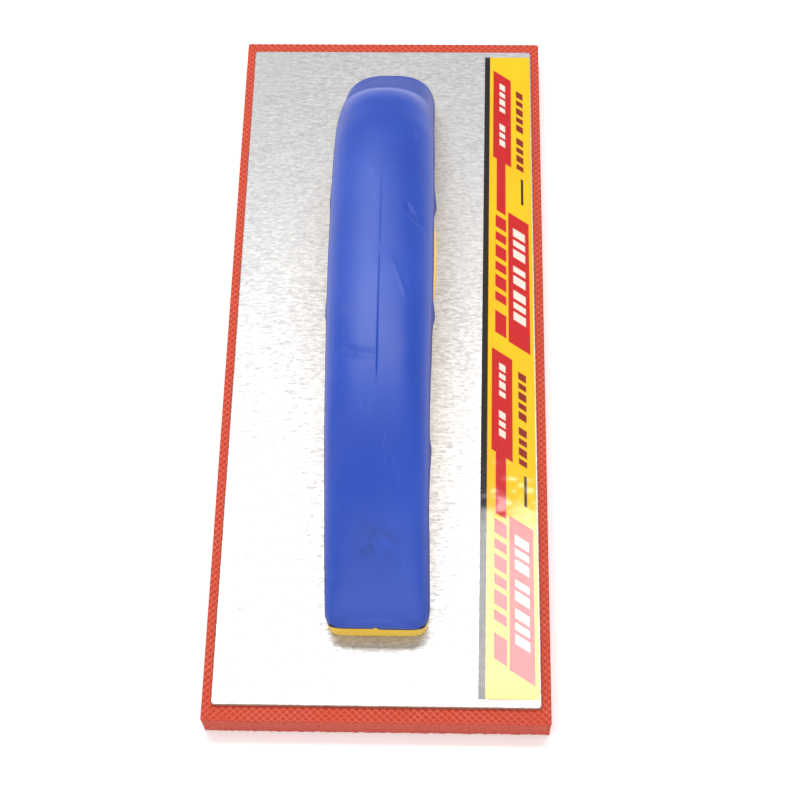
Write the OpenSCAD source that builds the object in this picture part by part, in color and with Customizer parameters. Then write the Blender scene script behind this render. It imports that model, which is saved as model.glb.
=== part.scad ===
// Rubber-faced finishing float: a foam rubber pad bonded under a thin metal backing plate,
// with a two-material bridge handle screwed on from below.
// +X right, +Y towards the toe of the handle, +Z up. The origin is the centre of the pad's underside.

/* [Pad] */
// Length of the rubber pad
pad_l = 240; // [220:1:300]
// Width of the rubber pad
pad_w = 100; // [95:1:130]
// Thickness of the rubber pad
pad_h = 10.5; // [6:0.5:20]
// Radius of the pad's upright corners
pad_r = 0.6; // [0.5:0.1:5]

/* [Plate] */
// Bare margin of pad beyond each end of the plate
end_margin = 4.6; // [1:0.1:8]
// Bare margin of pad beyond each side of the plate
side_margin = 2.9; // [1:0.1:8]
// Thickness of the metal plate
plate_h = 1.2; // [0.8:0.1:1.5]
// Radius of the plate's corners
plate_r = 0.9; // [0.5:0.1:8]
// Thickness of the glue film between pad and plate
glue_h = 0.2; // [0.1:0.05:0.5]

/* [Label] */
// Width of the label at the handle's heel end
label_heel_w = 17.6; // [12:0.1:25]
// Width of the label at the toe end
label_toe_w = 15; // [10:0.1:25]
// Distance from the plate's end to the label's end
label_inset = 2.4; // [1:0.1:20]
// Thickness of the printed label
label_h = 0.15; // [0.1:0.05:0.3]
// Thickness of the clear film over the print
film_h = 0.1; // [0.05:0.05:0.2]

/* [Handle] */
// Length of the handle from heel to toe
handle_l = 194.6; // [180:0.1:205]
// Height of the handle above the plate
handle_h = 59.2; // [55:0.1:64]
// Widest width of the grip
handle_w = 30.8; // [29:0.1:34]
// Distance from the pad's end to the handle's heel
heel_inset = 24.8; // [16:0.1:40]
// Thickness of the soft cover over the hard core
skin = 2.2; // [1.6:0.1:2.8]
// Height of the bare hard foot below the cover
foot_band = 7; // [5:0.1:9]
// How far the bare hard core reaches up from the finger side of the grip
bare_side = 7; // [4:0.5:9]
// Height of the waves in the edge of the cover
wave = 1.1; // [0:0.1:2]

/* [Screws] */
// Radius of the screw shank
shank_r = 2.1; // [1.5:0.05:2.5]
// Radius of the countersunk head
head_r = 4; // [3.5:0.1:4.4]
// Length of the shank above the head cone
shank_l = 15; // [10:0.5:18]
// Distance from the handle's middle to each screw
screw_x = 6.6; // [6:0.1:7.5]

/* [Hidden] */
$fn = 64;

eps = 0.01;
plate_l = pad_l - 2 * end_margin;
plate_w = pad_w - 2 * side_margin;
plate_bottom = pad_h + glue_h;
plate_top = plate_bottom + plate_h;
heel_y = heel_inset - pad_l / 2;
head_h = head_r - shank_r;
dimple_r = head_r + plate_h * (sqrt(2) - 1);
dimple_h = head_h - plate_h;

// Proportions of the handle, drawn on a handle 194.6 long, 59.2 high and 30.8 wide.
drawn_l = 194.6;
drawn_h = 59.2;
drawn_w = 30.8;
ring_sides = 24;
ring_steps = 2;

// Each row is a cross-section: its outer point (y, z), its inner point (y, z), its half width
// and the power that squares its corners. The arch runs from the heel's foot to the toe's foot.
arch_rows = [
    [0.5, 0, 25.0, 0, 14.7, 8],
    [0.5, 4.6, 25.8, 4.6, 14.7, 8],
    [0.1, 7.8, 27.4, 7.0, 15.1, 8],
    [1.0, 13.0, 30.4, 11.0, 15.0, 8],
    [6.4, 21.0, 36.0, 17.2, 14.9, 6.5],
    [16.0, 31.6, 43.4, 24.2, 14.8, 5],
    [27.0, 42.4, 50.4, 29.6, 14.8, 4],
    [39.0, 50.8, 57.4, 32.4, 14.8, 3.4],
    [54.0, 56.2, 66.4, 33.2, 14.9, 3],
    [75.0, 58.7, 80.6, 33.4, 15.2, 2.8],
    [97.0, 59.2, 97.0, 33.4, 15.4, 2.6],
    [119.0, 58.6, 113.4, 33.4, 15.4, 2.5],
    [139.0, 56.7, 127.0, 33.0, 15.3, 2.4],
    [149.2, 54.4, 134.0, 31.8, 15.2, 2.3],
    [155.4, 52.2, 138.0, 30.0, 15.1, 2.2],
    [159.2, 48.8, 140.4, 28.6, 15.0, 2.3],
    [165.4, 42.2, 145.0, 24.8, 14.9, 2.4],
    [178.6, 27.0, 154.2, 16.8, 14.8, 2.5],
    [189.0, 15.4, 161.8, 10.6, 14.8, 2.6],
    [193.8, 8.4, 166.4, 7.0, 14.8, 2.6],
    [194.4, 4.6, 168.6, 4.6, 14.5, 2.7],
    [194.4, 0, 169.2, 0, 14.5, 2.7],
];
// A swelling of the hard core stands a little proud of the cover on both sides, under the fingertips.
swell_rows = [
    [78, 41.0, 78, 36.0, 13.4, 3],
    [88, 42.8, 88, 34.4, 15.2, 3],
    [104, 43.8, 104, 34.0, 16.1, 3],
    [120, 42.8, 120, 34.4, 15.2, 3],
    [130, 41.0, 130, 36.0, 13.4, 3],
];
heel_screw_y = 13.6;
toe_screw_y = 180.6;
pocket_l = 15;
pocket_w = 19;
pocket_h = 10;
pocket_r = 4;
boss_r = 5.3;

// Catmull-Rom curve between b and c
function curve(a, b, c, d, t) =
    0.5 * (2 * b + (c - a) * t + (2 * a - 5 * b + 4 * c - d) * t * t + (3 * b - a - 3 * c + d) * t * t * t);

function smooth_rows(rows) = let (last = len(rows) - 1) [
    for (i = [0:last - 1], k = [0:ring_steps - 1])
        curve(rows[max(i - 1, 0)], rows[i], rows[i + 1], rows[min(i + 2, last)], k / ring_steps),
    rows[last]
];

// A row at the handle's real size
function sized(row) = [
    row[0] * handle_l / drawn_l, row[1] * handle_h / drawn_h,
    row[2] * handle_l / drawn_l, row[3] * handle_h / drawn_h,
    row[4] * handle_w / drawn_w, row[5]
];

function rounded(value, power) = sign(value) * pow(abs(value), 2 / power);

// The cross-section of one row, with its surface moved in by inset
function ring(row, inset) =
    let (outer = [row[0], row[1]])
    let (inner = [row[2], row[3]])
    let (middle = (outer + inner) / 2)
    let (reach = (outer - inner) / 2)
    let (depth = reach * (1 - inset / norm(reach)))
    [for (k = [0:ring_sides - 1])
        let (angle = 360 * k / ring_sides)
        let (point = middle + depth * rounded(sin(angle), row[5]))
        [(row[4] - inset) * rounded(cos(angle), row[5]), point[0], point[1]]];

// A closed skin through the cross-sections of the rows
module loft(rows, inset) {
    thick = inset + 1.2;
    used = [for (row = smooth_rows(rows))
        if (inset == 0 || (norm([row[0] - row[2], row[1] - row[3]]) / 2 > thick && row[4] > thick)) sized(row)];
    n = ring_sides;
    last = len(used) - 1;
    points = [for (row = used) each ring(row, inset)];
    sides = [for (i = [0:last - 1], k = [0:n - 1])
        each [
            [i * n + k, (i + 1) * n + (k + 1) % n, (i + 1) * n + k],
            [i * n + k, i * n + (k + 1) % n, (i + 1) * n + (k + 1) % n]
        ]];
    first_cap = [for (k = [n - 1:-1:0]) k];
    last_cap = [for (k = [0:n - 1]) last * n + k];
    polyhedron(points, concat(sides, [first_cap, last_cap]));
}

// Side view of the region where the hard core comes to the surface: the feet and the finger side
module bare_zone() {
    low = -1;
    edge = [for (row = smooth_rows(arch_rows))
        let (fit = sized(row))
        let (outer = [fit[0], fit[1]])
        let (inner = [fit[2], fit[3]])
        let (depth = bare_side + wave * cos(inner[0] * 360 / 21))
        if (inner[1] > foot_band) inner + (outer - inner) / norm(outer - inner) * depth];
    first = edge[0];
    last = edge[len(edge) - 1];
    rotate([90, 0, 90]) linear_extrude(2 * handle_w, center = true)
        polygon(concat([[first[0], low]], edge, [[last[0], low]]));
    translate([0, handle_l / 2, foot_band / 2])
        cube([2 * handle_w, 2 * handle_l, foot_band], center = true);
}

module rounded_plate(length, width, height, radius) {
    linear_extrude(height) {
        square([width - 2 * radius, length], center = true);
        square([width, length - 2 * radius], center = true);
        for (x = [-1, 1], y = [-1, 1])
            translate([x * (width / 2 - radius), y * (length / 2 - radius)]) circle(radius);
    }
}

// Both screw places of one foot, at the given distance from the heel
module at_screws(y) {
    for (x = [-screw_x, screw_x])
        translate([x, heel_y + y * handle_l / drawn_l, 0]) children();
}

module at_all_screws() {
    at_screws(heel_screw_y) children();
    at_screws(toe_screw_y) children();
}

// The open pocket in the underside of a foot, with its screw bosses left standing
module foot_pocket(y) {
    difference() {
        translate([0, heel_y + y * handle_l / drawn_l, plate_top - eps])
            rounded_plate(pocket_l, pocket_w, pocket_h, pocket_r);
        at_screws(y) cylinder(h = 3 * pocket_h, r = boss_r);
    }
}

module rubber_pad() {
    color("tomato") rounded_plate(pad_l, pad_w, pad_h, pad_r);
}

module pad_glue() {
    color("khaki") translate([0, 0, pad_h])
        difference() {
            rounded_plate(plate_l, plate_w, glue_h, plate_r);
            at_all_screws() translate([0, 0, -1]) cylinder(h = 3, r = head_r + 0.4);
        }
}

module backing_plate() {
    color("gainsboro") difference() {
        union() {
            translate([0, 0, plate_bottom]) rounded_plate(plate_l, plate_w, plate_h, plate_r);
            at_all_screws()
                translate([0, 0, plate_top]) cylinder(h = dimple_h, r1 = dimple_r, r2 = dimple_r - dimple_h);
        }
        at_all_screws() {
            translate([0, 0, plate_bottom]) cylinder(h = head_h, r1 = head_r, r2 = shank_r);
            cylinder(h = 2 * plate_top, r = shank_r);
        }
    }
}

// Outline of the label: its outer edge lies along the plate's edge and its inner edge tapers
module label_outline() {
    outer_x = plate_w / 2 - 0.4;
    end_y = plate_l / 2 - label_inset;
    polygon([
        [outer_x - label_heel_w, -end_y], [outer_x, -end_y],
        [outer_x, end_y], [outer_x - label_toe_w, end_y]
    ]);
}

module label_print() {
    color("gold") translate([0, 0, plate_top]) linear_extrude(label_h) label_outline();
}

module label_film() {
    color("white") translate([0, 0, plate_top + label_h]) linear_extrude(film_h) label_outline();
}

module handle_core() {
    color("goldenrod") difference() {
        translate([0, heel_y, plate_top]) {
            loft(arch_rows, skin);
            loft(swell_rows, 0);
            intersection() {
                loft(arch_rows, 0);
                bare_zone();
            }
        }
        foot_pocket(heel_screw_y);
        foot_pocket(toe_screw_y);
        at_all_screws() translate([0, 0, plate_top]) {
            translate([0, 0, -eps]) cylinder(h = dimple_h + eps, r1 = dimple_r + eps, r2 = dimple_r - dimple_h);
            cylinder(h = head_h - plate_h + shank_l + 1, r = shank_r);
        }
    }
}

module grip_cover() {
    color("royalblue") translate([0, heel_y, plate_top])
        difference() {
            loft(arch_rows, 0);
            loft(arch_rows, skin);
            loft(swell_rows, 0);
            bare_zone();
        }
}

// Countersunk self-tapping screw, head down, its head flush with the plate's underside
module screw() {
    point_h = 3;
    slot = 0.9;
    difference() {
        rotate_extrude() polygon([
            [0, 0], [head_r, 0], [shank_r, head_h],
            [shank_r, head_h + shank_l - point_h], [0, head_h + shank_l]
        ]);
        for (turn = [0, 90])
            rotate(turn) translate([0, 0, 0.5]) cube([head_r + 0.6, slot, 1.4], center = true);
    }
}

module heel_screws() {
    color("silver") at_screws(heel_screw_y) translate([0, 0, plate_bottom]) screw();
}

module toe_screws() {
    color("silver") at_screws(toe_screw_y) translate([0, 0, plate_bottom]) screw();
}

rubber_pad();
pad_glue();
backing_plate();
label_print();
label_film();
handle_core();
grip_cover();
heel_screws();
toe_screws();
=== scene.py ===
"""Looks of the rubber-faced float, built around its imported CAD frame. Metres, in the frame's own axes."""

import math

import bpy
import numpy as np
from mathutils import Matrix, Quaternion, Vector


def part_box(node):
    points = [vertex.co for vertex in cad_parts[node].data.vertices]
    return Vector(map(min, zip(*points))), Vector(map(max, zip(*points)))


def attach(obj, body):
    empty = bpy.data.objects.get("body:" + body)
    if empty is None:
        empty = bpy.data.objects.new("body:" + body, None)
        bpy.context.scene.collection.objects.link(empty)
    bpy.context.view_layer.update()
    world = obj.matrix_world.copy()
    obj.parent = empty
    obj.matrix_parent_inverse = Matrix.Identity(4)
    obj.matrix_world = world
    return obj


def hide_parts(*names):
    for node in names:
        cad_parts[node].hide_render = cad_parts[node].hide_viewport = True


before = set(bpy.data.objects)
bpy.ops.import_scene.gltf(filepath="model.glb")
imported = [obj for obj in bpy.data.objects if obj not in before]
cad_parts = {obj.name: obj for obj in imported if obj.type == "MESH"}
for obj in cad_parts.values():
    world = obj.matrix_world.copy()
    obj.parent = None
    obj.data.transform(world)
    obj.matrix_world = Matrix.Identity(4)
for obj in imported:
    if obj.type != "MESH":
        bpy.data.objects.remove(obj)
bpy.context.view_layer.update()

MM = 0.001
pad_low, pad_high = map(np.array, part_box("rubber_pad"))
label_low, label_high = map(np.array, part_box("label_print"))
film_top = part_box("label_film")[1][2]
cover_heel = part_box("grip_cover")[0][1]
plate_top = label_low[2]


# ---------------------------------------------------------------- meshes

def new_piece(name, verts, faces, material, smooth=True, sharp_deg=None):
    """A new object; with sharp_deg, edges that turn by more degrees than that stay sharp."""
    mesh = bpy.data.meshes.new(name)
    mesh.from_pydata([tuple(v) for v in verts], [], [tuple(int(i) for i in f) for f in faces])
    mesh.validate()
    mesh.update()
    mesh.polygons.foreach_set("use_smooth", [smooth] * len(mesh.polygons))
    if sharp_deg is not None:
        mesh.set_sharp_from_angle(angle=math.radians(sharp_deg))
    piece = bpy.data.objects.new(name, mesh)
    bpy.context.scene.collection.objects.link(piece)
    mesh.materials.append(material)
    return piece


def mark(piece, **marks):
    """Store named values, one per point, for the piece's material to read."""
    for name, values in marks.items():
        layer = piece.data.attributes.new(name, "FLOAT", "POINT")
        layer.data.foreach_set("value", np.asarray(values).astype(np.float32))


def bridge(rings, n):
    """Quads between stacked rings of n points each."""
    faces = []
    for r in range(rings - 1):
        a, b = r * n, (r + 1) * n
        for k in range(n):
            k2 = (k + 1) % n
            faces.append((a + k, a + k2, b + k2, b + k))
    return faces


def value_noise(points, cell, seed):
    """Smooth noise from -1 to 1 at each point, with the given cell size."""
    places = np.asarray(points) / cell
    cells = np.floor(places).astype(np.int64)
    share = places - cells
    share = share * share * (3 - 2 * share)
    total = np.zeros(len(places))
    for corner in range(8):
        offset = np.array([corner & 1, corner >> 1 & 1, corner >> 2 & 1])
        across, along, up = (cells + offset).T
        mixed = across * 374761393 + along * 668265263 + up * 2147483647 + seed * 974634777
        mixed = (mixed ^ (mixed >> 13)) * 1274126177
        mixed = (mixed ^ (mixed >> 16)) & 0xFFFF
        weight = np.prod(np.where(offset, share, 1 - share), axis=1)
        total += weight * (mixed / 32767.5 - 1)
    return total


def bell(value, middle, width):
    """1 at the middle, fading to 0 over about twice the width on either side."""
    return np.exp(-((value - middle) / width) ** 2)


def ramp(value, start, end):
    """A smooth step from 0 at the start to 1 at the end, whichever of the two is larger."""
    t = np.clip((value - start) / (end - start), 0, 1)
    return t * t * (3 - 2 * t)


# ---------------------------------------------------------------- materials

class Nodes:
    """A short way to write a material's node tree."""

    def __init__(self, name):
        self.material = bpy.data.materials.new(name)
        self.material.use_nodes = True
        self.tree = self.material.node_tree
        self.bsdf = self.tree.nodes["Principled BSDF"]
        self.object = self.tree.nodes.new("ShaderNodeTexCoord").outputs["Object"]

    def add(self, kind, settings=None, **inputs):
        node = self.tree.nodes.new(kind)
        for key, value in (settings or {}).items():
            setattr(node, key, value)
        for key, value in inputs.items():
            self.put(node, key, value)
        return node

    def put(self, node, key, value):
        """Link or set the input that the key names, or numbers when it is an i with digits."""
        numbered = key[0] == "i" and key[1:].isdigit()
        socket = node.inputs[int(key[1:]) if numbered else key.replace("_", " ")]
        if isinstance(value, bpy.types.NodeSocket):
            self.tree.links.new(value, socket)
        else:
            socket.default_value = value

    def principled(self, **inputs):
        for key, value in inputs.items():
            self.put(self.bsdf, key, value)

    def scaled(self, x, y, z):
        return self.add("ShaderNodeMapping", i0=self.object, i3=(x, y, z)).outputs[0]

    def noise(self, where, scale, detail=2.0, rough=0.5, distortion=0.0):
        return self.add("ShaderNodeTexNoise", Vector=where, Scale=scale, Detail=detail,
                        Roughness=rough, Distortion=distortion).outputs["Fac"]

    def math(self, operation, a, b=0.0, c=0.0, clamp=False):
        settings = {"operation": operation, "use_clamp": clamp}
        return self.add("ShaderNodeMath", settings, i0=a, i1=b, i2=c).outputs[0]

    def spread(self, value, low, high, to_low=0.0, to_high=1.0, smooth=False):
        settings = {"interpolation_type": "SMOOTHSTEP" if smooth else "LINEAR"}
        node = self.add("ShaderNodeMapRange", settings, i0=value, i1=low, i2=high, i3=to_low, i4=to_high)
        return node.outputs[0]

    def mix(self, share, a, b):
        """Colour a, with the given share of colour b."""
        return self.add("ShaderNodeMix", {"data_type": "RGBA"}, i0=share, i6=a, i7=b).outputs[2]

    def bump(self, height, strength, distance, normal=None):
        node = self.add("ShaderNodeBump", Height=height, Strength=strength, Distance=distance)
        if normal is not None:
            self.put(node, "Normal", normal)
        return node.outputs[0]

    def attribute(self, name):
        return self.add("ShaderNodeAttribute", {"attribute_name": name}).outputs["Fac"]


def rgb(red, green, blue):
    """An sRGB colour of 0 to 255 as linear values."""
    linear = [c / 255 / 12.92 if c <= 10 else ((c / 255 + 0.055) / 1.055) ** 2.4 for c in (red, green, blue)]
    return (*linear, 1.0)


def foam_rubber():
    """Red rubber: a pressed skin with painted shade in its pits, and a rougher open grain where it is cut.
    """
    m = Nodes("foam_rubber")
    pit = m.attribute("pit")
    cut = m.attribute("cut")
    grain = m.noise(m.scaled(1, 1, 1), 2600, 4, 0.6)
    cloud = m.noise(m.scaled(1, 1, 1), 120, 3, 0.5)
    skin = m.mix(m.spread(cloud, 0.3, 0.7), rgb(222, 96, 76), rgb(230, 114, 94))
    # Painted shade: the pits of the embossing are coloured darker than the ridges.
    skin = m.mix(m.spread(pit, 0.10, 0.70), skin, rgb(188, 62, 40))
    skin = m.mix(m.spread(grain, 0.40, 0.66, 0, 0.35), skin, rgb(214, 98, 78))
    sawn = m.mix(m.spread(grain, 0.36, 0.62), rgb(166, 58, 42), rgb(202, 92, 74))
    colour = m.mix(cut, skin, sawn)
    rough = m.spread(grain, 0.3, 0.7, 0.78, 0.95)
    pores = m.noise(m.scaled(1, 1, 1), 1500, 3, 0.7)
    m.principled(Base_Color=colour, Roughness=rough, Specular_IOR_Level=0.3,
                 Normal=m.bump(pores, 0.5, 0.12 * MM))
    return m.material


def brushed_steel():
    """Sheet metal with short brushed flecks across it and slow clouds."""
    m = Nodes("brushed_steel")
    streak = m.noise(m.scaled(160, 2600, 400), 1.0, 3, 0.6)
    fleck = m.noise(m.scaled(620, 1700, 800), 1.0, 3, 0.6)
    cloud = m.noise(m.scaled(1, 1, 1), 22, 2, 0.5)
    tone = m.math("ADD", m.math("MULTIPLY", streak, 0.3), m.math("MULTIPLY", fleck, 0.7))
    colour = m.mix(m.spread(tone, 0.36, 0.64), rgb(162, 161, 164), rgb(212, 212, 211))
    colour = m.mix(m.spread(cloud, 0.35, 0.65, 0, 0.25), colour, rgb(200, 199, 197))
    rough = m.spread(tone, 0.35, 0.65, 0.46, 0.36)
    m.principled(Base_Color=colour, Metallic=0.72, Roughness=rough,
                 Normal=m.bump(tone, 0.12, 0.010 * MM))
    return m.material


def soft_grip():
    """Blue soft rubber: dusty scuffs, a dirty smudge, painted highlights on the crest and the top, painted
    shade on the toe face and the flanks, and a painted shadow line along the heel lip.
    """
    m = Nodes("soft_grip")
    cloud = m.noise(m.scaled(1, 1, 1), 35, 3, 0.5)
    fine = m.noise(m.scaled(1, 1, 1), 1400, 2, 0.5)
    scuff = m.noise(m.scaled(3, 1, 1), 55, 5, 0.7, 0.6)
    colour = m.mix(m.spread(cloud, 0.3, 0.7), rgb(34, 68, 168), rgb(42, 79, 182))
    dusty = m.spread(scuff, 0.60, 0.74, 0, 0.16)
    colour = m.mix(dusty, colour, rgb(120, 132, 190))
    smudge = m.math("MULTIPLY", m.spread(m.noise(m.scaled(1, 1, 1), 210, 4, 0.65), 0.42, 0.64),
                    m.attribute("smudge"))
    colour = m.mix(m.math("MULTIPLY", smudge, 0.6), colour, rgb(34, 46, 104))
    # Painted highlight along the crest at the toe end.
    colour = m.mix(m.math("MULTIPLY", m.attribute("crest"), 0.25), colour, rgb(104, 118, 200))
    # Painted shade on the toe's end face, which slopes away from the light.
    colour = m.mix(m.math("MULTIPLY", m.attribute("toe"), 0.45), colour, rgb(30, 56, 150))
    # Painted highlight on the top, left of the parting line.
    colour = m.mix(m.math("MULTIPLY", m.attribute("rubbed"), 0.20), colour, rgb(138, 158, 230))
    # Painted shade on the flanks of the cover.
    colour = m.mix(m.math("MULTIPLY", m.attribute("flank"), 0.55), colour, rgb(34, 50, 112))
    # Painted shadow line along the heel lip and its notch.
    colour = m.mix(m.math("MULTIPLY", m.attribute("lip"), 0.85), colour, rgb(22, 26, 54))
    rough = m.math("ADD", m.spread(cloud, 0.3, 0.7, 0.38, 0.46), m.math("MULTIPLY", dusty, 0.8))
    rough = m.math("ADD", rough, m.math("MULTIPLY", m.attribute("flank"), 0.35))
    rough = m.math("ADD", rough, m.math("MULTIPLY", m.attribute("toe"), 0.40), clamp=True)
    m.principled(Base_Color=colour, Roughness=rough, Specular_IOR_Level=0.33,
                 Sheen_Weight=0.05, Sheen_Roughness=0.5,
                 Normal=m.bump(fine, 0.22, 0.04 * MM, m.bump(cloud, 0.25, 0.25 * MM)))
    return m.material


def hard_plastic():
    """Yellow moulded plastic that light passes into a little."""
    m = Nodes("hard_plastic")
    cloud = m.noise(m.scaled(1, 1, 1), 60, 2, 0.5)
    fine = m.noise(m.scaled(1, 1, 1), 900, 3, 0.5)
    colour = m.mix(m.spread(cloud, 0.3, 0.7), rgb(255, 200, 46), rgb(255, 210, 64))
    m.principled(Base_Color=colour, Roughness=m.spread(fine, 0.3, 0.7, 0.28, 0.36),
                 Subsurface_Weight=0.12, Subsurface_Scale=0.6,
                 Subsurface_Radius=(4.0 * MM, 2.0 * MM, 0.8 * MM),
                 Normal=m.bump(fine, 0.15, 0.03 * MM))
    return m.material


def glue():
    m = Nodes("dried_glue")
    blot = m.noise(m.scaled(1, 1, 1), 300, 3, 0.6)
    m.principled(Base_Color=m.mix(m.spread(blot, 0.3, 0.7), rgb(150, 128, 84), rgb(190, 168, 118)),
                 Roughness=m.spread(blot, 0.3, 0.7, 0.5, 0.7), Normal=m.bump(blot, 0.4, 0.1 * MM))
    return m.material


def zinc():
    m = Nodes("bright_zinc")
    cloud = m.noise(m.scaled(1, 1, 1), 700, 3, 0.6)
    m.principled(Base_Color=m.mix(m.spread(cloud, 0.3, 0.7), rgb(188, 190, 196), rgb(224, 222, 208)),
                 Metallic=1.0, Roughness=m.spread(cloud, 0.3, 0.7, 0.2, 0.34),
                 Normal=m.bump(cloud, 0.2, 0.02 * MM))
    return m.material


# ---------------------------------------------------------------- rubber pad

EMBOSS_X, EMBOSS_Y = 2.2 * MM, 2.0 * MM  # size of one diamond
EMBOSS_DEEP = 0.30 * MM
RIDGE_WIDTH = 0.13  # as a share of the distance between ridges
PAD_CORNER = 0.6 * MM
PAD_RIM = 5.4 * MM  # how far in from the edge the embossing is modelled
PAD_STEP = 0.34 * MM
RIM_LOOPS, SIDE_LOOPS = 17, 13
EDGE_ROUND = 0.16 * MM
SIDE_FROM, SIDE_TO = 0.9 * MM, 0.35 * MM  # first and last loop on the side, from the top and the bottom
SIDE_IN = 0.12  # how far the sawn side lies in on average, in mm
BOTTOM_IN = 0.3 * MM


def emboss(x, y):
    """Height from 0 to 1 of the crossing ridges pressed into the rubber sheet."""
    def ridge(t):
        away = np.abs(t - np.round(t))
        return bell(away, 0, RIDGE_WIDTH)
    u, w = x / EMBOSS_X + y / EMBOSS_Y, x / EMBOSS_X - y / EMBOSS_Y
    return np.maximum(ridge(u), ridge(w))


def pad_loop(inset):
    """Points round the pad at an inset from its edge, as many on every loop."""
    half = (pad_high[:2] - pad_low[:2]) / 2
    counts = [int(round(2 * h / PAD_STEP)) for h in half]
    radius = max(PAD_CORNER - inset, 0.05 * MM)
    inner = half - inset - radius
    points = []
    for corner, (side_x, side_y) in enumerate(((1, -1), (1, 1), (-1, 1), (-1, -1))):
        turn = np.radians(np.linspace(0, 90, 5) + 90 * corner - 90)
        points += [(side_x * inner[0] + radius * np.cos(angle), side_y * inner[1] + radius * np.sin(angle))
                   for angle in turn]
        next_x, next_y = ((1, 1), (-1, 1), (-1, -1), (1, -1))[corner]
        start = np.array(points[-1])
        end = np.array((next_x * inner[0] + radius * math.cos(turn[-1]),
                        next_y * inner[1] + radius * math.sin(turn[-1])))
        n = counts[1] if corner % 2 == 0 else counts[0]
        points += [tuple(start + (end - start) * k / n) for k in range(1, n)]
    return np.array(points)


def rubber_pad(material):
    """The foam rubber sheet: loops over its embossed rim, then down its slightly ragged cut sides."""
    top, bottom = pad_high[2], pad_low[2]
    verts, pit, cut = [], [], []
    for inset in np.linspace(PAD_RIM, 0, RIM_LOOPS):
        loop = pad_loop(inset)
        rise = emboss(loop[:, 0], loop[:, 1]) if inset < PAD_RIM else np.full(len(loop), 0.5)
        wear = 1 - 0.25 * (1 + value_noise(np.c_[loop, loop[:, :1] * 0], 9 * MM, 3)) / 2
        edge_round = EDGE_ROUND if inset == 0 else 0
        verts.append(np.c_[loop, top - edge_round - EMBOSS_DEEP * (1 - rise * wear)])
        # Painted shade for the pits between the ridges.
        pit.append(1 - rise)
        cut.append(np.full(len(loop), 1.0 if inset == 0 else 0.0))
    n = len(verts[0])
    levels = np.linspace(top - SIDE_FROM, bottom + SIDE_TO, SIDE_LOOPS)
    for level in list(levels) + [bottom]:
        loop = pad_loop(0)
        sample = np.c_[loop, np.full(n, level)]
        rough = 0.16 * value_noise(sample, 1.3 * MM, 11) + 0.13 * value_noise(sample, 0.5 * MM, 12)
        inward = np.maximum(SIDE_IN + rough, 0) * MM
        side = np.where(np.abs(loop[:, 0]) > pad_high[0] - PAD_CORNER, 1.0, 0.0)
        normal = np.c_[side * np.sign(loop[:, 0]), (1 - side) * np.sign(loop[:, 1])]
        loop = loop - normal * inward[:, None]
        if level == bottom:
            loop = loop * (1 - BOTTOM_IN / pad_high[0])
        verts.append(np.c_[loop, np.full(n, level)])
        # The painted-shade mark on the sides, stronger where the side lies further in.
        pit.append(np.clip(rough * 1.2, 0, 1))
        cut.append(np.ones(n))
    rings = len(verts)
    faces = bridge(rings, n)
    faces.append(tuple(range(n)))
    faces.append(tuple((rings - 1) * n + k for k in range(n - 1, -1, -1)))
    piece = new_piece("rubber_face", np.concatenate(verts), faces, material)
    mark(piece, pit=np.concatenate(pit), cut=np.concatenate(cut))
    return piece


# ---------------------------------------------------------------- handle

# Each row is a cross-section in millimetres, from the heel of the handle and from the plate: its outer
# point (y, z), its inner point (y, z), its half width and the power that squares its corners.
ARCH_ROWS = np.array([
    [0.5, 0, 25.0, 0, 14.7, 8],
    [0.5, 4.6, 25.8, 4.6, 14.7, 8],
    [0.1, 7.8, 27.4, 7.0, 15.1, 8],
    [1.0, 13.0, 30.4, 11.0, 15.0, 8],
    [6.4, 21.0, 36.0, 17.2, 14.9, 6.5],
    [16.0, 31.6, 43.4, 24.2, 14.8, 5],
    [27.0, 42.4, 50.4, 29.6, 14.8, 4],
    [39.0, 50.8, 57.4, 32.4, 14.8, 3.4],
    [54.0, 56.2, 66.4, 33.2, 14.9, 3],
    [75.0, 58.7, 80.6, 33.4, 15.2, 2.8],
    [97.0, 59.2, 97.0, 33.4, 15.4, 2.6],
    [119.0, 58.6, 113.4, 33.4, 15.4, 2.5],
    [139.0, 56.7, 127.0, 33.0, 15.3, 2.4],
    [149.2, 54.4, 134.0, 31.8, 15.2, 2.3],
    [155.4, 52.2, 138.0, 30.0, 15.1, 2.2],
    [159.2, 48.8, 140.4, 28.6, 15.0, 2.3],
    [165.4, 42.2, 145.0, 24.8, 14.9, 2.4],
    [178.6, 27.0, 154.2, 16.8, 14.8, 2.5],
    [189.0, 15.4, 161.8, 10.6, 14.8, 2.6],
    [193.8, 8.4, 166.4, 7.0, 14.8, 2.6],
    [194.4, 4.6, 168.6, 4.6, 14.5, 2.7],
    [194.4, 0, 169.2, 0, 14.5, 2.7],
])
# The swelling of the core beside the grip, in the same form.
SWELL_ROWS = np.array([
    [78, 41.0, 78, 36.0, 13.4, 3],
    [88, 42.8, 88, 34.4, 15.2, 3],
    [104, 43.8, 104, 34.0, 16.1, 3],
    [120, 42.8, 120, 34.4, 15.2, 3],
    [130, 41.0, 130, 36.0, 13.4, 3],
])
SKIN = 2.2  # thickness of the soft cover
FOOT_BAND = 7.0  # height of the bare yellow band round each foot
BARE_SIDE = 7.0  # bare core on the finger side of the grip
WAVE, WAVE_LENGTH = 1.1, 21.0  # the cover's wavy edge
SWELL_MIDDLE, SWELL_HALF = 104.0, 27.0  # where the cover's edge gives way to the swelling
SWELL_RISE = 3.6  # and by how much


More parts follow.
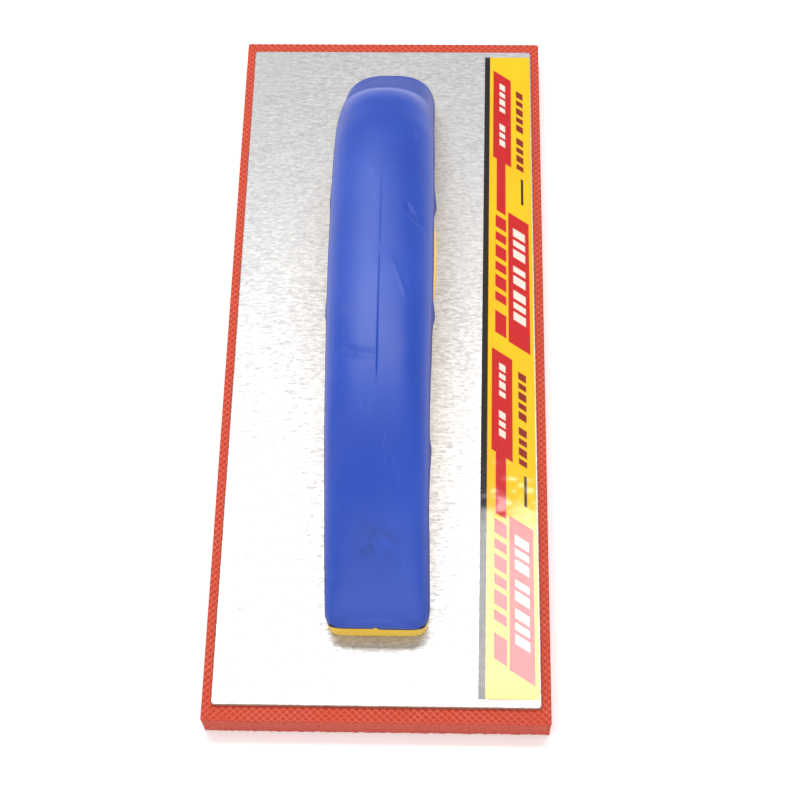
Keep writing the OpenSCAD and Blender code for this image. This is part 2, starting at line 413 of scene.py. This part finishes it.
def smooth_rows(rows, steps):
    """A Catmull-Rom curve through the rows."""
    out = []
    last = len(rows) - 1
    for i in range(last):
        a, b, c, d = rows[max(i - 1, 0)], rows[i], rows[i + 1], rows[min(i + 2, last)]
        for t in np.arange(steps) / steps:
            out.append(0.5 * (2 * b + (c - a) * t + (2 * a - 5 * b + 4 * c - d) * t * t
                              + (3 * b - a - 3 * c + d) * t ** 3))
    return np.array(out + [rows[last]])


def rounded(value, power):
    """A sine or cosine bent toward the square corners of a higher power."""
    return np.sign(value) * np.abs(value) ** (2 / power)


def section(row, angles, inset):
    """Points of one cross-section at the given angles (radians), moved in by inset (mm)."""
    outer, inner, half, power = row[:2], row[2:4], row[4], row[5]
    middle, reach = (outer + inner) / 2, (outer - inner) / 2
    depth = reach * (1 - inset / np.linalg.norm(reach))
    along = middle + depth * rounded(np.sin(angles), power)[:, None]
    return np.c_[(half - inset) * rounded(np.cos(angles), power), along]


def edge_angle(row):
    """Angle at which the soft cover ends on the side of this cross-section."""
    swell = max(0.0, 1 - ((row[2] - SWELL_MIDDLE) / SWELL_HALF) ** 2)
    wave = WAVE * math.cos(2 * math.pi * row[2] / WAVE_LENGTH)
    depth = BARE_SIDE + wave * (1 - swell) + SWELL_RISE * swell ** 0.8
    high = 2 * depth / np.linalg.norm(row[:2] - row[2:4]) - 1
    return math.asin(math.copysign(abs(high) ** (row[5] / 2), high))


def placed(points):
    """From the handle's own millimetres to the frame."""
    heel = cover_heel - smooth_rows(ARCH_ROWS, 2)[:, 0].min() * MM
    return points * MM + np.array([0, heel, plate_top])


NEAR_LINE = (4.0, 2.6, 1.6, 1.0, 0.55, 0.25, 0.1)  # where points lie beside the parting line, in mm


def cover_angles(row, count=54):
    """Angles over the grip from edge to edge, with points close beside the parting line."""
    near = [math.acos((x / row[4]) ** (row[5] / 2)) for x in NEAR_LINE]
    half = np.r_[np.linspace(edge_angle(row), near[0], count), near[1:]]
    return np.r_[half, math.pi / 2, math.pi - half[::-1]]


def crease(points, start, end, width):
    """A soft line pressed along the grip from start to end, each an (x, y) in mm."""
    start, end = np.array(start), np.array(end)
    run = end - start
    t = np.clip((points[:, :2] - start) @ run / (run @ run), 0, 1)
    away = np.linalg.norm(points[:, :2] - start - t[:, None] * run, axis=1)
    return bell(away, 0, width) * np.clip(4 * t * (1 - t) + 0.35, 0, 1)


# Dents and, below zero, ridges in the cover: depth, start (x, y), end (x, y) and width, in mm.
CREASES = (
    (0.12, (-1.5, 96.4), (5.2, 96.6), 0.45),
    (-0.20, (3.4, 93.2), (7.8, 80.5), 0.42),
    (0.85, (7.3, 110.8), (11.6, 105.8), 0.7),
    (0.70, (-10.2, 65.4), (-5.6, 62.8), 1.2),
    (0.35, (-5.6, 62.8), (-0.4, 62.4), 1.0),
    (-0.12, (-6.0, 74.0), (-2.0, 73.2), 0.5),
)
PARTING_WIDTH = 0.12
BEAD = 0.40  # how far the bead along the heel's edge stands out
BEAD_TOP, BEAD_BEND = 13.4, 0.026  # its upper line, which drops toward the sides
WAVES, RIPPLES = (0.11, 10.0), (0.03, 3.0)  # how high and how long the unevenness of the cover is


def grip_details(points):
    """How far the soft cover is pressed in, in mm, at points on its outside."""
    x, y, z = points.T
    top = ramp(z, 30, 40)
    near_half = 0.22 * ramp(y, 54, 60) * ramp(y, 94.2, 93.4)
    far_half = 0.16 * ramp(y, 97.5, 98.5) * ramp(y, 128, 112)
    line = bell(x, 0, PARTING_WIDTH) * (top * (near_half + far_half) + 0.03)
    folds = top * sum(depth * crease(points, start, end, width) for depth, start, end, width in CREASES)
    bead = -BEAD * ramp(BEAD_TOP - BEAD_BEND * x * x - z, 0, 1.1) * ramp(y, 9, 6)
    waves = WAVES[0] * value_noise(points, WAVES[1], 21) + RIPPLES[0] * value_noise(points, RIPPLES[1], 22)
    return line + folds + bead + waves


# Where the points of the cover's wavy edge stand out, on the right (1) and on the left (-1).
FLARES = {1: (51.0, 84.0, 117.0), -1: (84.0, 117.0, 133.5)}
FLARE_OUT, FLARE_LENGTH = 1.1, 2.8
FLARE_POINTS = 14
LIP, LIP_POINTS = 0.35, 6  # the cover's edge rolls in by this much over its last points
END_LIP = 0.35
HEEL_STEP, HEEL_NOTCH = 0.5, 1.4  # the heel's edge is higher on the left, with a notch at the parting line


def shape_edges(outside, outward, along):
    """Stand the points of the wavy edge out, and roll the cover's edge in, on both sides of a ring."""
    for side, tips in FLARES.items():
        swing = FLARE_OUT * max(float(bell(along, tip, FLARE_LENGTH)) for tip in tips)
        for k in range(FLARE_POINTS):
            index = k if side > 0 else -1 - k
            outside[index][0] += side * swing * (1 - k / FLARE_POINTS) ** 2
            if k < LIP_POINTS:
                outside[index] -= outward[index] * LIP * (1 - k / LIP_POINTS) ** 2


def grip_cover(material):
    """The soft cover: a closed skin whose rings run over the outside and back along the inside."""
    rows = smooth_rows(ARCH_ROWS, 22)
    rows = rows[(rows[:, 1] > FOOT_BAND + 0.3) & (rows[:, 3] > FOOT_BAND)]
    rings, flanks = [], []
    for row in rows:
        angles = cover_angles(row)
        outside = section(row, angles, 0.0)
        inside = section(row, np.linspace(angles[-1], angles[0], 24), SKIN)
        outward = outside - section(row, angles, 1.0)
        outside = outside - outward * grip_details(outside)[:, None]
        last = outside[-1] * 0.55 + inside[0] * 0.45
        first = outside[0] * 0.55 + inside[-1] * 0.45
        shape_edges(outside, outward, row[2])
        # Painted shade toward the cover's sides, and fully on its edge and inside.
        flank = ramp(np.abs(rounded(np.cos(angles), row[5])), 0.955, 0.998)
        flanks.append(np.r_[flank, np.ones(len(inside) + 2)])
        rings.append(np.vstack([outside, last, inside, first]))
    flanks = [flanks[0]] + flanks + [flanks[-1]]
    count = len(angles)
    for end in (0, -1):
        rim = rings[end].copy()
        rim[:count] = section(rows[end], cover_angles(rows[end]), 0.45)
        rim[:, 2] -= END_LIP
        rings = [rim] + rings if end == 0 else rings + [rim]
    points, faces = closed_loft(rings)
    x, y, z = points.T
    heel_rim = ramp(z, 11.0, 8.5) * ramp(y, 12, 8)
    notch = bell(x, -0.2, 0.5) * ramp(y, 3, 1.5)
    raised = heel_rim * (HEEL_STEP * ramp(x, 0.3, -0.5) + HEEL_NOTCH * notch)
    points[:, 2] += raised
    piece = new_piece("soft_cover", placed(points), faces, material, sharp_deg=50)
    # Masks for the material: a dirty smudge, painted highlights on the crest and the top, painted shade on
    # the toe face and the flanks, and a painted shadow line at the heel lip.
    mark(piece,
         smudge=bell(x, 0.2, 6.5) * bell(y, 16.5, 5.0) * ramp(z, 20, 26),
         crest=bell(y, 156.4, 3.6) * ramp(z, 42, 46),
         toe=ramp(y, 158.5, 161.5) * ramp(z - (194.0 - y), 4, 10),
         rubbed=bell(x, -3.5, 6.0) * ramp(y, 55, 85) * ramp(y, 152, 115) * ramp(z, 38, 46),
         flank=np.concatenate(flanks),
         lip=ramp(z - raised, 9.3, 8.7) * ramp(y, 16, 12))
    return piece


def closed_loft(rings):
    """The points and faces of a closed body through the rings, with a flat cap at either end."""
    n = len(rings[0])
    faces = bridge(len(rings), n)
    faces.append(tuple(range(n))[::-1])
    faces.append(tuple((len(rings) - 1) * n + k for k in range(n)))
    return np.vstack(rings), faces


CHAMFER_FROM, CHAMFER = 4.4, 0.7  # the feet draw in from this height, by this much at the cover


def handle_core(material):
    """The hard core: a loft that lies under the cover, with bare feet, and the swelling beside the grip."""
    rings = []
    for row in smooth_rows(ARCH_ROWS, 12):
        covered = min(row[1], row[3]) > FOOT_BAND - 0.2
        start = edge_angle(row) if covered else -math.radians(20)
        over = np.linspace(start, math.pi - start, 60)
        under = np.linspace(math.pi - start, 2 * math.pi + start, 42)
        if covered:
            ring = np.vstack([section(row, over, SKIN), section(row, under, 0.12)])
        else:
            height = (row[1] + row[3]) / 2
            inset = CHAMFER * min(max((height - CHAMFER_FROM) / (FOOT_BAND - CHAMFER_FROM), 0), 1)
            ring = np.vstack([section(row, over, inset), section(row, under, inset * 0.2)])
            if height < 0.35:
                ring = np.vstack([section(row, over, 0.25), section(row, under, 0.25)])
        rings.append(ring)
    points, faces = closed_loft(rings)
    swell = []
    for row in smooth_rows(SWELL_ROWS, 10):
        swell.append(section(row, np.linspace(0, 2 * math.pi, 64, endpoint=False), 0.0))
    more, more_faces = closed_loft(swell)
    faces += [tuple(len(points) + i for i in f) for f in more_faces]
    return new_piece("hard_core", placed(np.vstack([points, more])), faces, material, sharp_deg=42)


# ---------------------------------------------------------------- plate and label

def backing_plate(material):
    """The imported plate's own shape, with its sheared edges broken."""
    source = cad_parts["backing_plate"]
    piece = source.copy()
    piece.data = source.data.copy()
    piece.name = "plate_sheet"
    bpy.context.scene.collection.objects.link(piece)
    piece.data.materials.clear()
    piece.data.materials.append(material)
    merge = piece.modifiers.new("merge", "WELD")
    merge.merge_threshold = 0.005 * MM
    flat = piece.modifiers.new("flat", "DECIMATE")
    flat.decimate_type = "DISSOLVE"
    flat.angle_limit = math.radians(0.5)
    edge = piece.modifiers.new("edge", "BEVEL")
    edge.width = 0.22 * MM
    edge.segments = 3
    edge.limit_method = "ANGLE"
    edge.angle_limit = math.radians(60)
    return piece


LABEL_REPEAT = 107.0  # length of the print, which comes twice
LABEL_SLANT = 11.5  # how far the slanted ends lean over the label's width
LABEL_ACROSS, LABEL_ALONG = 44, 520  # points over the sheet
PUCKER_MIDDLE, PUCKER_HALF = -40 * MM, 14 * MM  # where along the plate the film is puckered most


def label_material():
    """Yellow vinyl with plain slanted red banners, bars and a black edge stripe, under a gloss film."""
    m = Nodes("label_vinyl")
    across = m.attribute("across")
    skewed = m.math("SUBTRACT", m.attribute("down"), m.math("MULTIPLY", across, LABEL_SLANT))
    second = m.math("GREATER_THAN", skewed, LABEL_REPEAT - 1)
    slanted = m.math("SUBTRACT", skewed, m.math("MULTIPLY", second, LABEL_REPEAT))

    def band(value, low, high, soft):
        up = m.spread(value, low - soft, low + soft)
        fall = m.spread(value, high - soft, high + soft, 1.0, 0.0)
        return m.math("MULTIPLY", up, fall)

    def block(low_across, high_across, low_down, high_down):
        return m.math("MULTIPLY", band(across, low_across, high_across, 0.008),
                      band(slanted, low_down, high_down, 0.14))

    def either(parts):
        total = parts[0]
        for part in parts[1:]:
            total = m.math("MAXIMUM", total, part)
        return total

    def row(low_across, high_across, start, widths, gap):
        """A line of plain slanted bars."""
        bars = []
        for width in widths:
            bars.append(block(low_across, high_across, start, start + width))
            start += width + gap
        return bars

    banners = [block(0.19, 0.58, 3.2, 38.4), block(0.27, 0.46, 38.0, 58.5), block(0.51, 0.93, 56.5, 104.5)]
    red = either(banners
                 + row(0.25, 0.47, 60.3, (4.6, 3.2, 4.6, 3.2, 4.6, 3.2), 1.7)
                 + row(0.25, 0.47, 96.0, (8.0,), 1.0))
    pale = either(row(0.33, 0.45, 7.0, (2.4, 1.8, 2.4, 1.8), 1.0)
                  + row(0.33, 0.45, 23.5, (2.4, 1.8, 2.4), 1.0)
                  + row(0.61, 0.85, 61.5, (3.0, 2.2, 3.0), 1.3)
                  + row(0.61, 0.85, 75.6, (2.2, 3.0), 1.3)
                  + row(0.61, 0.85, 84.6, (3.0, 2.2, 3.0), 1.3))
    rust = either(row(0.69, 0.84, 6.0, (2.6, 2.0, 2.6, 2.0, 2.6), 1.1)
                  + row(0.69, 0.84, 25.0, (2.6, 2.0, 2.6, 2.0), 1.1))
    dark = either([band(across, -0.2, 0.115, 0.008), block(0.78, 0.83, 40.5, 50.5)])
    yellow = m.mix(m.spread(m.noise(m.scaled(1, 1, 1), 60, 2), 0.3, 0.7), rgb(248, 190, 0), rgb(252, 200, 2))
    colour = m.mix(red, yellow, rgb(200, 20, 22))
    colour = m.mix(pale, colour, rgb(246, 226, 216))
    colour = m.mix(rust, colour, rgb(140, 30, 6))
    colour = m.mix(dark, colour, rgb(22, 14, 8))
    dots = m.noise(m.scaled(1, 1, 1), 420, 3, 0.6)
    m.principled(Base_Color=colour, Roughness=0.5, Specular_IOR_Level=0.1,
                 Coat_Weight=m.spread(dots, 0.2, 0.6, 0.60, 0.72),
                 Coat_Roughness=0.07, Coat_IOR=1.6,
                 Coat_Normal=m.bump(dots, 0.05, 0.02 * MM))
    return m.material


def label(material):
    """The sticker with its film as one thin sheet, slightly puckered where it was smoothed down."""
    corners = label_corners()
    nx, ny = LABEL_ACROSS, LABEL_ALONG
    s, t = np.meshgrid(np.linspace(0, 1, nx), np.linspace(0, 1, ny))
    s, t = s.ravel(), t.ravel()
    heel = corners[0] + (corners[1] - corners[0]) * s[:, None]
    toe = corners[3] + (corners[2] - corners[3]) * s[:, None]
    flat = heel + (toe - heel) * t[:, None]
    spots = np.c_[flat, flat[:, 0] * 0]
    lift = 0.014 * value_noise(spots * [1.8, 1, 1], 5 * MM, 31) + 0.008 * value_noise(spots, 1.9 * MM, 32)
    pucker = bell(flat[:, 1], PUCKER_MIDDLE, PUCKER_HALF)
    lift = (0.05 + np.clip(lift * (0.3 + 1.6 * pucker), -0.04, 0.2)) * MM
    rim = np.minimum.reduce([s * nx / 3, (1 - s) * nx / 3, t * ny / 12, (1 - t) * ny / 12])
    lift = lift * np.clip(rim, 0, 1)
    top = np.c_[flat, film_top - 0.05 * MM + lift]
    under = np.c_[flat, np.full(len(flat), plate_top + 0.01 * MM)]
    quads = [(r * nx + k, r * nx + k + 1, (r + 1) * nx + k + 1, (r + 1) * nx + k)
             for r in range(ny - 1) for k in range(nx - 1)]
    n = len(flat)
    faces = quads + [tuple(n + i for i in q[::-1]) for q in quads]
    border = ([k for k in range(nx)] + [r * nx + nx - 1 for r in range(1, ny)]
              + [(ny - 1) * nx + k for k in range(nx - 2, -1, -1)] + [r * nx for r in range(ny - 2, 0, -1)])
    for a, b in zip(border, border[1:] + border[:1]):
        faces.append((b, a, n + a, n + b))
    piece = new_piece("label_sheet", np.vstack([top, under]), faces, material, sharp_deg=60)
    mark(piece, across=np.tile(s, 2), down=np.tile((label_high[1] - flat[:, 1]) / MM, 2))
    return piece


def label_corners():
    """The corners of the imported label: heel left, heel right, toe right, toe left."""
    points = np.array([v.co[:2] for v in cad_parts["label_print"].data.vertices])
    heel = points[points[:, 1] < 0]
    toe = points[points[:, 1] > 0]
    return np.array([heel[heel[:, 0].argmin()], heel[heel[:, 0].argmax()],
                     toe[toe[:, 0].argmax()], toe[toe[:, 0].argmin()]])


# ---------------------------------------------------------------- assembly

def stand_for(piece, slot, *nodes):
    """Let the piece stand in for these nodes of the frame."""
    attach(piece, "root")
    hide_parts(*nodes)


def repaint(node, material):
    """Keep the frame's own shape for this node, with a new material."""
    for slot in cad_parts[node].material_slots:
        slot.material = material


stand_for(rubber_pad(foam_rubber()), "pad_rubber", "rubber_pad")
stand_for(backing_plate(brushed_steel()), "plate_metal", "backing_plate")
stand_for(label(label_material()), "label_ink", "label_print", "label_film")
stand_for(handle_core(hard_plastic()), "core_plastic", "handle_core")
stand_for(grip_cover(soft_grip()), "soft_grip", "grip_cover")
repaint("pad_glue", glue())
zinc_finish = zinc()
repaint("heel_screws", zinc_finish)
repaint("toe_screws", zinc_finish)


# ---------------------------------------------------------------- stage

FLOOR_HALF = 6.0
FLOOR_GAP = 0.05 * MM


def floor():
    """A white table, which glows more with distance so that it stays white past the lights."""
    half = FLOOR_HALF
    verts = [(-half, -half, 0), (half, -half, 0), (half, half, 0), (-half, half, 0)]
    m = Nodes("white_table")
    grain = m.noise(m.scaled(1, 1, 1), 40, 2)
    away = m.add("ShaderNodeVectorMath", {"operation": "LENGTH"}, i0=m.object).outputs["Value"]
    white = m.mix(m.spread(grain, 0.3, 0.7), rgb(247, 247, 247), rgb(249, 249, 249))
    m.principled(Base_Color=white, Roughness=0.8, Specular_IOR_Level=0.2,
                 Emission_Color=rgb(255, 255, 255),
                 Emission_Strength=m.spread(away, 0.5, 2.2, 0.18, 0.7, smooth=True))
    ground = new_piece("table_top", verts, [(0, 1, 2, 3)], m.material, smooth=False)
    ground.location.z = pad_low[2] - FLOOR_GAP


def area_light(name, place, target, size, watts):
    """A rectangular panel at the place, facing the target."""
    lamp = bpy.data.lights.new(name, "AREA")
    lamp.shape = "RECTANGLE"
    lamp.size, lamp.size_y = size
    lamp.energy = watts
    holder = bpy.data.objects.new(name, lamp)
    holder.location = place
    holder.rotation_euler = (Vector(target) - Vector(place)).to_track_quat("-Z", "Y").to_euler()
    bpy.context.scene.collection.objects.link(holder)


def sky(overhead, horizon):
    """An even studio room, brighter toward the horizon."""
    world = bpy.data.worlds.new("studio_white")
    world.use_nodes = True
    tree = world.node_tree
    direction = tree.nodes.new("ShaderNodeTexCoord").outputs["Generated"]
    parts = tree.nodes.new("ShaderNodeSeparateXYZ")
    tree.links.new(direction, parts.inputs[0])
    fade = tree.nodes.new("ShaderNodeMapRange")
    fade.interpolation_type = "SMOOTHSTEP"
    tree.links.new(parts.outputs[2], fade.inputs[0])
    for socket, value in ((1, 0.03), (2, 0.48), (3, horizon), (4, overhead)):
        fade.inputs[socket].default_value = value
    background = tree.nodes["Background"]
    background.inputs[0].default_value = (1, 1, 1, 1)
    tree.links.new(fade.outputs[0], background.inputs[1])
    bpy.context.scene.world = world


def camera():
    """The view from over the heel, looking down, a little to the right and rolled a little."""
    lens = bpy.data.cameras.new("camera")
    lens.lens = 78.4
    lens.clip_start = 0.01
    holder = bpy.data.objects.new("camera", lens)
    place = Vector((0.0187, -0.2582, 0.494))
    target = Vector((0.0050, -0.0174, pad_high[2]))
    turn = (target - place).to_track_quat("-Z", "Y")
    roll = Quaternion((0, 0, 1), math.radians(-2.41))
    holder.location = place
    holder.rotation_mode = "QUATERNION"
    holder.rotation_quaternion = turn @ roll
    bpy.context.scene.collection.objects.link(holder)
    bpy.context.scene.camera = holder


# Name, place, target, size and watts. The strip is what the near half of the label reflects.
LIGHTS = (
    ("overhead_soft", (0.0, -0.35, 1.25), (0.0, -0.35, 0.0), (1.6, 0.9), 5.6),
    ("glare_strip", (-0.04, 0.345, 1.25), (-0.04, 0.345, 0.0), (0.96, 0.25), 9.6),
    ("back_soft", (0.0, 1.15, 1.25), (0.0, 1.15, 0.0), (2.2, 1.3), 2.0),
    ("fill_left", (-1.2, -0.5, 0.9), (0.0, 0.0, 0.02), (0.9, 0.9), 3.0),
    ("fill_front", (0.1, -1.5, 0.3), (0.0, 0.0, 0.02), (1.0, 0.5), 4.0),
)

floor()
camera()
sky(overhead=0.33, horizon=1.0)
for light in LIGHTS:
    area_light(*light)
bpy.context.scene.view_settings.view_transform = "Standard"
